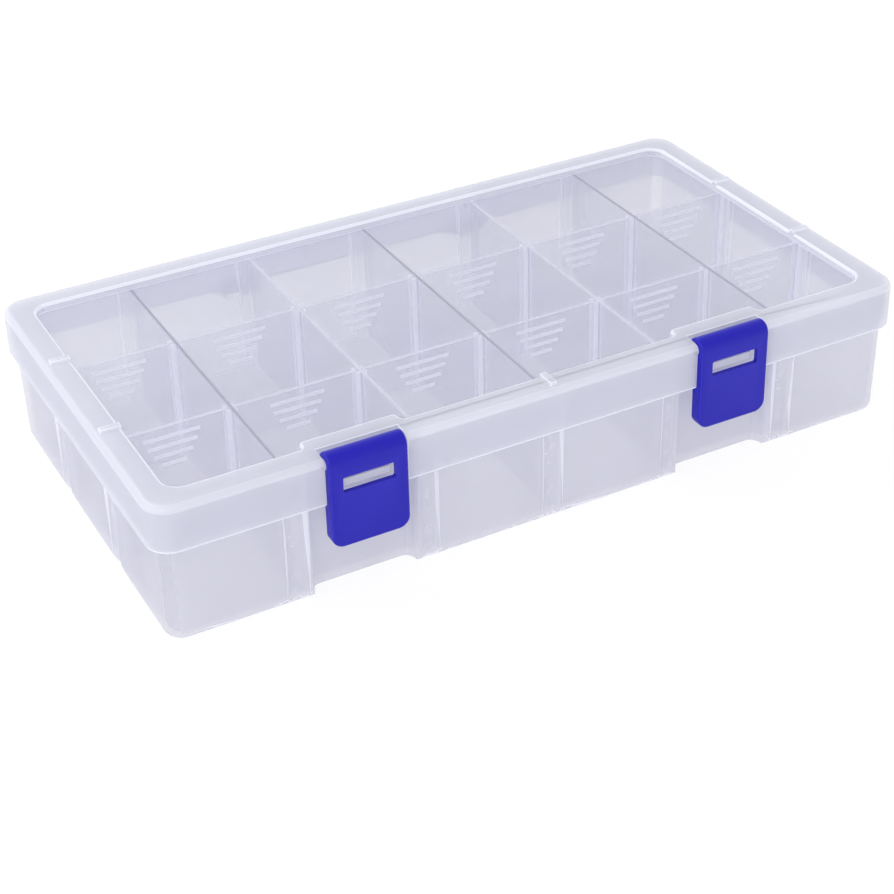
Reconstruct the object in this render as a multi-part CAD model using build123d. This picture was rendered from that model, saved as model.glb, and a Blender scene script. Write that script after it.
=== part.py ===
from build123d import *
import math
import os

# Stackable compartment storage box with eighteen small compartments.
# A shallow translucent tray has five fixed walls front to back and twelve loose row dividers.
# Its lid has a sunk panel and turns on two rear hinges. Two clip latches swing on bars in the
# lid's front rim. Millimetres. X runs along the front, +Y to the back, +Z up.
# The origin is the centre of the base face.

# Overall size
LID_WIDTH = 230.0
LID_DEPTH = 123.0
RIM_TOP = 43.0
RIDGE_HEIGHT = 1.0
LID_CORNER = 7.0

# Lid shell
LID_WALL = 1.2
RIM_THICKNESS = 1.4
SKIRT_HEIGHT = 14.0
LID_EDGE_ROUND = 2.0
SKIRT_EDGE_ROUND = 0.8
RIM_WIDTH = 7.8
RECESS_DEPTH = 2.0
RECESS_CORNER = 5.0
RECESS_EDGE_ROUND = 0.8
PANEL_THICKNESS = 1.1
STEP_WALL = 1.2
RIDGE_WIDTH = 2.0

# Tray shell
LID_CLEARANCE = 0.7
TRAY_WALL = 1.5
FLOOR = 1.5
TRAY_DRAFT = 0.6
TRAY_EDGE_BELOW_RIM = 1.6
BASE_ROUND = 2.5
INNER_ROUND = 1.4
GROOVE_WIDTH = 6.5
GROOVE_DEPTH = 1.3
GROOVE_BACKING = 1.2

# Compartments
COLUMNS = 6
COLUMN_PITCH = 38.33
ROW_PLANE = 20.1
PARTITION = 1.2
PARTITION_BELOW_PANEL = 0.3
GUIDE_WIDTH = 0.9
GUIDE_DEPTH = 1.0

# Loose dividers
DIVIDER = 1.2
DIVIDER_SIDE_CLEARANCE = 0.25
DIVIDER_FACE_CLEARANCE = 0.2
DIVIDER_BELOW_WALLS = 0.3
DIVIDER_FOOT_CHAMFER = 2.0
GRIP_LENGTHS = (16.0, 14.0, 11.0, 7.0)
GRIP_PITCH = 2.8
GRIP_BELOW_TOP = 2.4
GRIP_HEIGHT = 1.0
GRIP_PROUD = 0.5

# Latches
LATCH_CENTRE = 56.5
LATCH_WIDTH = 22.4
LATCH_DEPTH = 3.8
LATCH_PROUD = 1.3
LATCH_PLATE = 1.4
LATCH_FLANGE = 1.2
LATCH_CORNER = 3.4
LATCH_EDGE_ROUND = 0.7
LATCH_BOTTOM = 15.8
LATCH_BELOW_RIDGES = 0.2
LATCH_ROLL = 3.2
LATCH_BAR = 1.5
BAR_CLEARANCE = 0.05
LATCH_MOUTH = 2.6
WINDOW_WIDTH = 15.0
WINDOW_HEIGHT = 4.6
WINDOW_BELOW_BARREL = 0.4
WINDOW_ROUND = 0.5
NOTCH_SIDE_CLEARANCE = 0.5
NOTCH_BACK_CLEARANCE = 0.8
JOG_DEPTH = 3.5
JOG_MARGIN = 2.3
JOG_CORNER = 1.5
CATCH_WIDTH = 13.0
CATCH_HEIGHT = 2.0
CATCH_ABOVE_WINDOW_SILL = 0.9
CATCH_CLEARANCE = 0.4
CATCH_SIDE_GAP = 1.2

# Finger bays behind and under the latches
BAY_WIDTH = 30.0
BAY_DEPTH = 5.8
BAY_WALL = 1.5
BAY_CORNER = 3.0
BAY_EDGE_ROUND = 2.0

# Rear hinges
HINGE_CENTRE = 40.0
HINGE_WIDTH = 16.6
HINGE_EAR = 2.4
HINGE_EAR_RADIUS = 2.2
HINGE_EAR_RISE = 7.0
HINGE_BAR = 1.3
HINGE_BEHIND_LID = 1.8
HINGE_BELOW_SKIRT = 0.6
HINGE_SIDE_GAP = 0.5
HOOK_RADIUS = 2.6
HOOK_SWEEP_GAP = 0.4
HOOK_MOUTH = 100.0

# Levels and faces that follow from the sizes above
SKIRT_BOTTOM = RIM_TOP - SKIRT_HEIGHT
RIM_UNDERSIDE = RIM_TOP - RIM_THICKNESS
PANEL_TOP = RIM_TOP - RECESS_DEPTH
PANEL_UNDERSIDE = PANEL_TOP - PANEL_THICKNESS
TRAY_TOP = RIM_UNDERSIDE - TRAY_EDGE_BELOW_RIM
WALL_TOP = PANEL_UNDERSIDE - PARTITION_BELOW_PANEL
DIVIDER_TOP = WALL_TOP - DIVIDER_BELOW_WALLS
LID_BACK = LID_DEPTH / 2
LID_FRONT = -LID_BACK
TRAY_WIDTH = LID_WIDTH - 2 * (LID_WALL + LID_CLEARANCE)
TRAY_DEPTH = LID_DEPTH - 2 * (LID_WALL + LID_CLEARANCE)
TRAY_CORNER = LID_CORNER - LID_WALL - LID_CLEARANCE
TRAY_FRONT = -TRAY_DEPTH / 2
BAY_FACE = TRAY_FRONT + BAY_DEPTH
LATCH_FRONT = LID_FRONT - LATCH_PROUD
LATCH_AXIS_Y = LATCH_FRONT + LATCH_ROLL
LATCH_AXIS_Z = RIM_TOP + RIDGE_HEIGHT - LATCH_BELOW_RIDGES - LATCH_ROLL
BARREL_BOTTOM = LATCH_AXIS_Z - LATCH_ROLL
WINDOW_TOP = BARREL_BOTTOM - WINDOW_BELOW_BARREL
WINDOW_SILL = WINDOW_TOP - WINDOW_HEIGHT
NOTCH_HALF = LATCH_WIDTH / 2 + NOTCH_SIDE_CLEARANCE
NOTCH_BACK = LATCH_AXIS_Y + LATCH_ROLL + NOTCH_BACK_CLEARANCE
HINGE_Y = LID_BACK + HINGE_BEHIND_LID
HINGE_Z = SKIRT_BOTTOM - HINGE_BELOW_SKIRT
HOOK_WIDTH = HINGE_WIDTH - 2 * (HINGE_EAR + HINGE_SIDE_GAP)

# How far past a face a cutter starts, so that no skin is left
OVERCUT = 2.0


def block(x_span, y_span, z_span):
    """Return a box between the given low and high values on each axis."""
    size = [high - low for low, high in (x_span, y_span, z_span)]
    middle = [(low + high) / 2 for low, high in (x_span, y_span, z_span)]
    return Pos(*middle) * Box(*size)


def rounded_slab(width, depth, radius, z_low, z_high):
    """Return an upright slab with rounded corners, centred on Z."""
    outline = Pos(0, 0, z_low) * RectangleRounded(width, depth, radius)
    return extrude(outline, z_high - z_low)


def draft_at(z):
    """Return how far the tray's faces have leaned inwards at a height."""
    return TRAY_DRAFT * (TRAY_TOP - z) / TRAY_TOP


def drafted_slab(inset, radius, z_low, z_high):
    """Return a slab whose sides lean with the tray, inset from its outer face."""
    rings = []
    for z in (z_low, z_high):
        lean = inset + draft_at(z)
        ring = RectangleRounded(TRAY_WIDTH - 2 * lean, TRAY_DEPTH - 2 * lean, radius)
        rings.append(Pos(0, 0, z) * ring)
    return loft(rings)


def cylinder_x(x_span, y, z, radius):
    """Return a round bar that lies along X."""
    middle = (x_span[0] + x_span[1]) / 2
    return Pos(middle, y, z) * Rot(0, 90, 0) * Cylinder(radius, x_span[1] - x_span[0])


def wall_planes():
    """Return the X of the five fixed walls."""
    first = -(COLUMNS / 2 - 1)
    return [(first + index) * COLUMN_PITCH for index in range(COLUMNS - 1)]


def leaning_post(place, inward, half_width, reach, z_span):
    """Return a rectangular post that leans with the tray's wall.

    place is the point on the tray's outer top edge, inward the unit direction into the tray,
    and reach the low and high distance from the outer face.
    """
    rings = []
    for z in z_span:
        near, far = (value + draft_at(z) for value in reach)
        middle = (near + far) / 2
        x = place[0] + inward[0] * middle
        y = place[1] + inward[1] * middle
        across = 2 * half_width
        size = (far - near, across) if inward[0] else (across, far - near)
        rings.append(Pos(x, y, z) * Rectangle(*size))
    return loft(rings)


def groove_places():
    """Return each outer groove's point on the tray's top edge and its inward direction."""
    places = [((x, TRAY_FRONT), (0, 1)) for x in wall_planes()]
    places += [((x, -TRAY_FRONT), (0, -1)) for x in wall_planes()]
    for y in (-ROW_PLANE, ROW_PLANE):
        places.append(((-TRAY_WIDTH / 2, y), (1, 0)))
        places.append(((TRAY_WIDTH / 2, y), (-1, 0)))
    return places


def groove_cutter(place, inward):
    """Return a leaning round cutter that leaves a shallow upright groove."""
    half = GROOVE_WIDTH / 2
    radius = (half ** 2 + GROOVE_DEPTH ** 2) / (2 * GROOVE_DEPTH)
    rings = []
    for z in (0, TRAY_TOP):
        away = radius - GROOVE_DEPTH - draft_at(z)
        ring = Circle(radius)
        rings.append(Pos(place[0] - inward[0] * away, place[1] - inward[1] * away, z) * ring)
    return loft(rings)


def tray_shell():
    """Return the leaning outer box with its bottom edges rounded, hollowed out."""
    outer = drafted_slab(0, TRAY_CORNER, 0, TRAY_TOP)
    outer = fillet(outer.faces().sort_by(Axis.Z)[0].edges(), BASE_ROUND)
    inner = drafted_slab(TRAY_WALL, TRAY_CORNER - TRAY_WALL, FLOOR, TRAY_TOP)
    inner = fillet(inner.faces().sort_by(Axis.Z)[0].edges(), INNER_ROUND)
    return outer - inner


def groove_backings():
    """Return the thicker strips of wall behind the outer grooves."""
    strips = []
    half = GROOVE_WIDTH / 2
    reach = (TRAY_WALL / 2, TRAY_WALL + GROOVE_BACKING)
    for place, inward in groove_places():
        strips.append(leaning_post(place, inward, half, reach, (FLOOR / 2, WALL_TOP)))
    return strips


def partitions():
    """Return the five fixed walls that run front to back."""
    reach = TRAY_DEPTH / 2 - TRAY_WALL / 2 - TRAY_DRAFT
    top_reach = TRAY_DEPTH / 2 - TRAY_WALL / 2 - draft_at(WALL_TOP)
    walls = []
    for x in wall_planes():
        low = Pos(x, 0, FLOOR / 2) * Rectangle(PARTITION, 2 * reach)
        high = Pos(x, 0, WALL_TOP) * Rectangle(PARTITION, 2 * top_reach)
        walls.append(loft([low, high]))
    return walls


def guide_offset():
    """Return the distance of a guide rib's middle from its row plane."""
    return DIVIDER / 2 + DIVIDER_FACE_CLEARANCE + GUIDE_WIDTH / 2


def divider_guides():
    """Return the upright rib pairs that hold the loose dividers."""
    ribs = []
    levels = (FLOOR / 2, DIVIDER_TOP)
    side_reach = (TRAY_WALL / 2, TRAY_WALL + GROOVE_BACKING + GUIDE_DEPTH)
    for row in (-ROW_PLANE, ROW_PLANE):
        for y in (row - guide_offset(), row + guide_offset()):
            for x in wall_planes():
                half = PARTITION / 2 + GUIDE_DEPTH
                y_span = (y - GUIDE_WIDTH / 2, y + GUIDE_WIDTH / 2)
                ribs.append(block((x - half, x + half), y_span, levels))
            for side in (-1, 1):
                place = (side * TRAY_WIDTH / 2, y)
                ribs.append(leaning_post(place, (-side, 0), GUIDE_WIDTH / 2, side_reach, levels))
    return ribs


def bay_shape(grow, z_low, z_high):
    """Return a bay's upright solid about its own middle, grown outwards by one wall."""
    front = TRAY_FRONT - OVERCUT
    back = BAY_FACE + grow
    width = BAY_WIDTH + 2 * grow
    outline = Pos(0, (front + back) / 2, z_low) * Rectangle(width, back - front)
    solid = extrude(outline, z_high - z_low)
    corners = solid.edges().filter_by(Axis.Z).sort_by(Axis.Y)[-2:]
    return fillet(corners, BAY_CORNER + grow)


def bay_jacket():
    """Return the wall round one bay, trimmed to end inside the front wall."""
    jacket = bay_shape(BAY_WALL, FLOOR / 2, WALL_TOP)
    trim = (TRAY_FRONT - 2 * OVERCUT, TRAY_FRONT + TRAY_DRAFT + TRAY_WALL / 2)
    return jacket - block((-BAY_WIDTH, BAY_WIDTH), trim, (0, TRAY_TOP + OVERCUT))


def bay_corner(side):
    """Return the leaning cutter that rounds the front wall where it turns into a bay."""
    rings = []
    reach = BAY_EDGE_ROUND + OVERCUT
    for z in (0, TRAY_TOP):
        x = side * (BAY_WIDTH / 2 + BAY_EDGE_ROUND)
        y = TRAY_FRONT + draft_at(z) + BAY_EDGE_ROUND
        square = Pos(x - side * reach / 2, y - reach / 2) * Rectangle(reach, reach)
        rings.append(Pos(0, 0, z) * (square - Pos(x, y) * Circle(BAY_EDGE_ROUND)))
    return loft(rings)


def bay_clearances():
    """Return what is cut for one bay: the bay itself and its two rounded corners."""
    bay = bay_shape(0, -OVERCUT, TRAY_TOP + OVERCUT)
    return [bay, bay_corner(-1), bay_corner(1)]


def catch_rib():
    """Return the rib on a bay's wall that shows through the latch's window."""
    half = CATCH_WIDTH / 2
    front = LATCH_FRONT + LATCH_PLATE + CATCH_CLEARANCE
    low = WINDOW_SILL + CATCH_ABOVE_WINDOW_SILL
    return block((-half, half), (front, BAY_FACE + BAY_WALL / 2), (low, low + CATCH_HEIGHT))


def hinge_hook():
    """Return one rear hook about its own middle: a ring open at the top and an arm."""
    half = HOOK_WIDTH / 2
    inner = HINGE_BAR + BAR_CLEARANCE
    ring = cylinder_x((-half, half), HINGE_Y, HINGE_Z, HOOK_RADIUS)
    wall_y = TRAY_DEPTH / 2 - TRAY_WALL / 2 - draft_at(HINGE_Z)
    arm_levels = (HINGE_Z - HOOK_RADIUS, HINGE_Z - inner)
    arm = block((-half, half), (wall_y, HINGE_Y), arm_levels)
    hook = ring + arm
    hook -= cylinder_x((-HINGE_WIDTH, HINGE_WIDTH), HINGE_Y, HINGE_Z, inner)
    reach = 3 * HOOK_RADIUS
    spread = reach * math.tan(math.radians(HOOK_MOUTH / 2))
    mouth_edge = Polyline((0, 0), (spread, reach), (-spread, reach), close=True)
    mouth = extrude(make_face(mouth_edge), HINGE_WIDTH, both=True)
    lean = HOOK_MOUTH / 4
    mouth = Pos(0, HINGE_Y, HINGE_Z) * Rot(lean, 0, 0) * Plane.YZ * mouth
    return hook - mouth


def make_tray():
    """Return the tray with its walls, guides, bays, catches and hinge hooks."""
    tray = tray_shell()
    for piece in partitions() + groove_backings() + divider_guides():
        tray += piece
    for side in (-1, 1):
        tray += Pos(side * LATCH_CENTRE, 0, 0) * bay_jacket()
    for place, inward in groove_places():
        tray -= groove_cutter(place, inward)
    for side in (-1, 1):
        for cutter in bay_clearances():
            tray -= Pos(side * LATCH_CENTRE, 0, 0) * cutter
        tray += Pos(side * LATCH_CENTRE, 0, 0) * catch_rib()
        tray += Pos(side * HINGE_CENTRE, 0, 0) * hinge_hook()
    return tray


def recess_outline(grow, z_low, z_high):
    """Return the sunk panel's solid, stepped inwards behind each latch, grown by one wall."""
    width = LID_WIDTH - 2 * (RIM_WIDTH - grow)
    depth = LID_DEPTH - 2 * (RIM_WIDTH - grow)
    slab = rounded_slab(width, depth, RECESS_CORNER + grow, z_low, z_high)
    half = NOTCH_HALF + JOG_MARGIN - grow
    jog_back = LID_FRONT + RIM_WIDTH + JOG_DEPTH - grow
    for side in (-1, 1):
        x = side * LATCH_CENTRE
        jog = block((x - half, x + half), (LID_FRONT, jog_back), (z_low - OVERCUT, z_high + OVERCUT))
        slab -= jog
    reach = half + JOG_CORNER
    upright = slab.edges().filter_by(Axis.Z)
    corners = [edge for edge in upright if abs(abs(edge.center().X) - LATCH_CENTRE) < reach]
    return fillet(corners, JOG_CORNER)


def lid_shell():
    """Return the lid's skirt, rim, step wall and sunk panel."""
    shell = rounded_slab(LID_WIDTH, LID_DEPTH, LID_CORNER, SKIRT_BOTTOM, RIM_TOP)
    shell = fillet(shell.faces().sort_by(Axis.Z)[-1].edges(), LID_EDGE_ROUND)
    shell = fillet(shell.faces().sort_by(Axis.Z)[0].edges(), SKIRT_EDGE_ROUND)
    shell -= rounded_slab(
        LID_WIDTH - 2 * LID_WALL,
        LID_DEPTH - 2 * LID_WALL,
        LID_CORNER - LID_WALL,
        SKIRT_BOTTOM - OVERCUT,
        RIM_UNDERSIDE,
    )
    shell += recess_outline(STEP_WALL, PANEL_UNDERSIDE, RIM_UNDERSIDE + RIM_THICKNESS / 2)
    shell -= recess_outline(0, PANEL_TOP, RIM_TOP + OVERCUT)
    rim = shell.faces().sort_by(Axis.Z)[-1]
    return fillet(rim.inner_wires()[0].edges(), RECESS_EDGE_ROUND)


def latch_pocket_walls():
    """Return the pocket's side and back walls under the rim, about the latch's middle."""
    outer = NOTCH_HALF + STEP_WALL
    front = LID_FRONT + LID_WALL / 2
    levels = (PANEL_UNDERSIDE, RIM_UNDERSIDE + RIM_THICKNESS / 2)
    return block((-outer, outer), (front, NOTCH_BACK + STEP_WALL), levels)


def latch_notch():
    """Return the notch through skirt and rim that the latch sits in."""
    y_span = (LID_FRONT - OVERCUT, NOTCH_BACK)
    return block((-NOTCH_HALF, NOTCH_HALF), y_span, (SKIRT_BOTTOM - OVERCUT, RIM_TOP + OVERCUT))


def latch_bar():
    """Return the bar across the notch that the latch swings on."""
    reach = NOTCH_HALF + STEP_WALL / 2
    return cylinder_x((-reach, reach), LATCH_AXIS_Y, LATCH_AXIS_Z, LATCH_BAR)


def stacking_ridges():
    """Return the low ridges across the rim that carry a second box."""
    half = RIDGE_WIDTH / 2
    levels = (RIM_TOP - RIM_THICKNESS / 2, RIM_TOP + RIDGE_HEIGHT)
    side_out = LID_WIDTH / 2 - LID_EDGE_ROUND
    side_in = LID_WIDTH / 2 - RIM_WIDTH
    ridges = []
    for y in (-ROW_PLANE, ROW_PLANE):
        for side in (-1, 1):
            x_span = sorted((side * side_in, side * side_out))
            ridges.append(block(x_span, (y - half, y + half), levels))
    y_span = (LID_FRONT + LID_EDGE_ROUND, LID_FRONT + RIM_WIDTH)
    ridges.append(block((-half, half), y_span, levels))
    return ridges


def hinge_ears():
    """Return the two ears and the bar of one rear hinge about its own middle."""
    ears = []
    for side in (-1, 1):
        x_span = sorted((side * (HINGE_WIDTH / 2 - HINGE_EAR), side * HINGE_WIDTH / 2))
        foot = cylinder_x(x_span, HINGE_Y, HINGE_Z, HINGE_EAR_RADIUS)
        top = HINGE_Z + HINGE_EAR_RISE
        skin = LID_BACK - LID_WALL / 2
        back = HINGE_Y + HINGE_EAR_RADIUS
        web_edge = Polyline((skin, HINGE_Z), (back, HINGE_Z), (skin, top + HINGE_EAR_RADIUS), close=True)
        web = extrude(Plane.YZ * make_face(web_edge), HINGE_EAR)
        ears.append(foot + Pos(x_span[0], 0, 0) * web)
    half = HINGE_WIDTH / 2
    bar = cylinder_x((-half, half), HINGE_Y, HINGE_Z, HINGE_BAR)
    return ears + [bar]


def hook_clearance():
    """Return the room cut in the skirt so that the hook clears the lid as it turns."""
    half = HOOK_WIDTH / 2 + HINGE_SIDE_GAP
    return cylinder_x((-half, half), HINGE_Y, HINGE_Z, HOOK_RADIUS + HOOK_SWEEP_GAP)


def make_lid():
    """Return the lid with its latch notches, bars, ridges and hinge ears."""
    lid = lid_shell()
    for side in (-1, 1):
        lid += Pos(side * LATCH_CENTRE, 0, 0) * latch_pocket_walls()
    for side in (-1, 1):
        lid -= Pos(side * LATCH_CENTRE, 0, 0) * latch_notch()
        lid += Pos(side * LATCH_CENTRE, 0, 0) * latch_bar()
        lid -= Pos(side * HINGE_CENTRE, 0, 0) * hook_clearance()
        for piece in hinge_ears():
            lid += Pos(side * HINGE_CENTRE, 0, 0) * piece
    for ridge in stacking_ridges():
        lid += ridge
    return lid


def latch_side_outline():
    """Return the latch's outline from the side: front face, rolled top and back edge."""
    back = LATCH_FRONT + LATCH_DEPTH
    meet_angle = -math.degrees(math.acos((back - LATCH_AXIS_Y) / LATCH_ROLL))
    roll = CenterArc((LATCH_AXIS_Y, LATCH_AXIS_Z), LATCH_ROLL, meet_angle, 180 - meet_angle)
    edges = Polyline(roll @ 1, (LATCH_FRONT, LATCH_BOTTOM), (back, LATCH_BOTTOM), roll @ 0)
    return make_face([roll, edges])


def latch_body():
    """Return the latch's solid outside, with its lower corners and front edges rounded."""
    body = extrude(Plane.YZ * latch_side_outline(), LATCH_WIDTH / 2, both=True)
    body = fillet(body.edges().filter_by(Axis.Y).group_by(Axis.Z)[0], LATCH_CORNER)
    rolled = [edge for edge in body.edges().filter_by(GeomType.CIRCLE) if edge.radius == LATCH_ROLL]
    front = [edge for edge in body.edges().group_by(Axis.Y)[0] if edge not in rolled]
    front = [edge for edge in front if edge.center().Z < LATCH_AXIS_Z - LATCH_EDGE_ROUND]
    return fillet(front + rolled, LATCH_EDGE_ROUND)


def latch_hollow():
    """Return the hollow behind the plate, open below in the middle so that the catch rib passes."""
    inner_half = LATCH_WIDTH / 2 - LATCH_FLANGE
    front = LATCH_FRONT + LATCH_PLATE
    back = LATCH_FRONT + LATCH_DEPTH + OVERCUT
    low = LATCH_BOTTOM + LATCH_FLANGE
    hollow = block((-inner_half, inner_half), (front, back), (low, LATCH_AXIS_Z))
    corners = hollow.edges().filter_by(Axis.Y).group_by(Axis.Z)[0]
    hollow = fillet(corners, LATCH_CORNER - LATCH_FLANGE)
    catch_half = CATCH_WIDTH / 2 + CATCH_SIDE_GAP
    hollow += block((-catch_half, catch_half), (front, back), (LATCH_BOTTOM - OVERCUT, low + OVERCUT))
    return hollow - cylinder_x((-LATCH_WIDTH, LATCH_WIDTH), LATCH_AXIS_Y, LATCH_AXIS_Z, LATCH_ROLL)


def make_latch():
    """Return one latch about its own middle: shell, rolled top, bore, mouth and window."""
    reach = LATCH_WIDTH
    latch = latch_body() - latch_hollow()
    latch -= cylinder_x((-reach, reach), LATCH_AXIS_Y, LATCH_AXIS_Z, LATCH_BAR + BAR_CLEARANCE)
    mouth_levels = (LATCH_AXIS_Z - LATCH_MOUTH / 2, LATCH_AXIS_Z + LATCH_MOUTH / 2)
    latch -= block((-reach, reach), (LATCH_AXIS_Y, LATCH_AXIS_Y + 2 * LATCH_ROLL), mouth_levels)
    window_half = WINDOW_WIDTH / 2
    y_span = (LATCH_FRONT - OVERCUT, LATCH_FRONT + LATCH_PLATE + OVERCUT)
    window = block((-window_half, window_half), y_span, (WINDOW_SILL, WINDOW_TOP))
    window = fillet(window.edges().filter_by(Axis.Y), WINDOW_ROUND)
    return latch - window


def cell_edges(column):
    """Return the X of a column's left and right walls at the tray's top."""
    planes = wall_planes()
    side_face = TRAY_WIDTH / 2 - TRAY_WALL - GROOVE_BACKING
    left = planes[column - 1] + PARTITION / 2 if column else -side_face
    right = planes[column] - PARTITION / 2 if column < COLUMNS - 1 else side_face
    return left, right


def make_divider(column, row_y):
    """Return one loose divider that stands in the guides of a column at a row plane."""
    left, right = cell_edges(column)
    left += DIVIDER_SIDE_CLEARANCE
    right -= DIVIDER_SIDE_CLEARANCE
    lean_low = draft_at(FLOOR)
    lean_high = draft_at(DIVIDER_TOP)
    left_leans = 1 if column == 0 else 0
    right_leans = 1 if column == COLUMNS - 1 else 0
    bottom_left = left + left_leans * lean_low
    bottom_right = right - right_leans * lean_low
    chamfer = DIVIDER_FOOT_CHAMFER
    outline = Polyline(
        (bottom_left + chamfer, FLOOR),
        (bottom_right - chamfer, FLOOR),
        (bottom_right, FLOOR + chamfer),
        (right - right_leans * lean_high, DIVIDER_TOP),
        (left + left_leans * lean_high, DIVIDER_TOP),
        (bottom_left, FLOOR + chamfer),
        close=True,
    )
    plate = extrude(Rot(90, 0, 0) * make_face(outline), DIVIDER / 2, both=True)
    middle = (left + right) / 2
    for index, length in enumerate(GRIP_LENGTHS):
        top = DIVIDER_TOP - GRIP_BELOW_TOP - index * GRIP_PITCH
        x_span = (middle - length / 2, middle + length / 2)
        y_span = (-DIVIDER / 2 - GRIP_PROUD, 0)
        plate += block(x_span, y_span, (top - GRIP_HEIGHT, top))
    return Pos(0, row_y, 0) * plate


def build():
    """Build every piece, give it its name and write it to parts."""
    os.makedirs("parts", exist_ok=True)
    pieces = {"tray": make_tray(), "lid": make_lid()}
    latch = make_latch()
    pieces["latch_left"] = Pos(-LATCH_CENTRE, 0, 0) * latch
    pieces["latch_right"] = Pos(LATCH_CENTRE, 0, 0) * latch
    for column in range(COLUMNS):
        for row, row_y in (("front", -ROW_PLANE), ("back", ROW_PLANE)):
            pieces[f"divider_{column + 1}_{row}"] = make_divider(column, row_y)
    for name, piece in pieces.items():
        export_step(piece, f"parts/{name}.step")
    print("hinge axis y, z:", HINGE_Y, HINGE_Z)
    print("latch axis y, z:", LATCH_AXIS_Y, LATCH_AXIS_Z)
    print("bay face:", BAY_FACE, "floor:", FLOOR, "walls to:", WALL_TOP)


build()
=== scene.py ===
import logging
import math
from dataclasses import dataclass, field
from enum import Enum
from typing import Any

import bmesh
import bpy
from mathutils import Matrix, Vector
from mathutils.bvhtree import BVHTree


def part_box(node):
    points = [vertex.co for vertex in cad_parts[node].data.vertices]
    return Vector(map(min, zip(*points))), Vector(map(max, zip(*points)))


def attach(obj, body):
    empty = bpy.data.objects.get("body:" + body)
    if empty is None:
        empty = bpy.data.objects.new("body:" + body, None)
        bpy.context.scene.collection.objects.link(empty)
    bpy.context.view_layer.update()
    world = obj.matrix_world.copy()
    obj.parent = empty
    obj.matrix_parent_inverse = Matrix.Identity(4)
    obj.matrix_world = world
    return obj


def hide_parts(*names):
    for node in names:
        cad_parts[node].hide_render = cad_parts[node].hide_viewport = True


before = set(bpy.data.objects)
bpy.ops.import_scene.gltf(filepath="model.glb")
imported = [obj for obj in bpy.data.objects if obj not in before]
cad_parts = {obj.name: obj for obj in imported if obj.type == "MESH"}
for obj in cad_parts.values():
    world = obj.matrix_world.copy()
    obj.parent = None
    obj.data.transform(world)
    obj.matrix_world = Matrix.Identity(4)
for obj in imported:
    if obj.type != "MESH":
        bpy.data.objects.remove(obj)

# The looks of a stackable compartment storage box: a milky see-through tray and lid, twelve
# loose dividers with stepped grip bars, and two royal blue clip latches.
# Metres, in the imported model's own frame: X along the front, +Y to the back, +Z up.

logging.basicConfig(level=logging.INFO, format="%(name)s: %(message)s")
log = logging.getLogger("storage_box")

MM = 0.001
# The least area or squared length, in square metres, that anything is divided by.
TINY = 1e-18
WHITE = "#FFFFFF"

Tree = bpy.types.NodeTree
Node = bpy.types.Node
Socket = bpy.types.NodeSocket
Colour = tuple[float, float, float, float]


def linear(hex_code: str) -> Colour:
    """Turn an sRGB hex colour into linear light.

    Args:
        hex_code: The colour as "#RRGGBB".

    Returns:
        Red, green, blue and an alpha of 1.
    """
    channels = []
    for start in (1, 3, 5):
        value = int(hex_code[start:start + 2], 16) / 255
        channels.append(value / 12.92 if value <= 0.04045 else ((value + 0.055) / 1.055) ** 2.4)
    return (channels[0], channels[1], channels[2], 1.0)


def add_node(tree: Tree, kind: str, settings: dict[str, Any] | None = None,
             inputs: dict[str | int, Any] | None = None) -> Node:
    """Add a node, set its properties and fill or link its inputs.

    Args:
        tree: The shader or geometry tree that gets the node.
        kind: The node's type name.
        settings: Properties of the node by name.
        inputs: Values or sockets by input name or number.

    Returns:
        The new node.
    """
    node = tree.nodes.new(kind)
    for name, value in (settings or {}).items():
        setattr(node, name, value)
    for key, value in (inputs or {}).items():
        if isinstance(value, Socket):
            tree.links.new(value, node.inputs[key])
        else:
            node.inputs[key].default_value = value
    return node


def empty_material(name: str) -> bpy.types.Material:
    """Make a material whose node tree is still empty.

    Args:
        name: The material's name.

    Returns:
        The new material.
    """
    made = bpy.data.materials.new(name)
    made.use_nodes = True
    made.node_tree.nodes.clear()
    return made


def from_middle(point: Vector) -> tuple[float, float, float]:
    """Return how far a point is from the box's middle along X, Y and Z, in mm."""
    return (abs(point.x) / MM, abs(point.y) / MM, abs(point.z) / MM)


def off_line(place: float, pitch: float) -> float:
    """Measure how far a place is from the nearest of some evenly spaced lines.

    Args:
        place: The place, counted from one of the lines.
        pitch: The distance from line to line.

    Returns:
        The distance to the nearest line.
    """
    return abs(place - round(place / pitch) * pitch)


def near_segment(spot: Vector, start: Vector, end: Vector) -> float:
    """Measure how far a point is from a straight edge.

    Args:
        spot: The point.
        start: One end of the edge.
        end: Its other end.

    Returns:
        The distance in metres.
    """
    along = end - start
    share = (spot - start).dot(along) / max(along.length_squared, TINY)
    return (spot - start - along * min(1.0, max(0.0, share))).length


def link_object(name: str, mesh: bpy.types.Mesh) -> bpy.types.Object:
    """Put a mesh into the scene as an object at the origin.

    Args:
        name: The object's name.
        mesh: Its mesh, already in its place.

    Returns:
        The new object.
    """
    piece = bpy.data.objects.new(name, mesh)
    bpy.context.scene.collection.objects.link(piece)
    return piece


# Finishes


class MouldFinish(Enum):
    """How the mould's steel was finished: the roughness it gives and the grain's depth in mm."""

    POLISHED = (0.22, 0.001)
    SATIN = (0.34, 0.002)

    @property
    def roughness(self) -> float:
        """Return the surface's roughness."""
        return self.value[0]

    @property
    def depth(self) -> float:
        """Return the grain's depth in mm."""
        return self.value[1]


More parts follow.
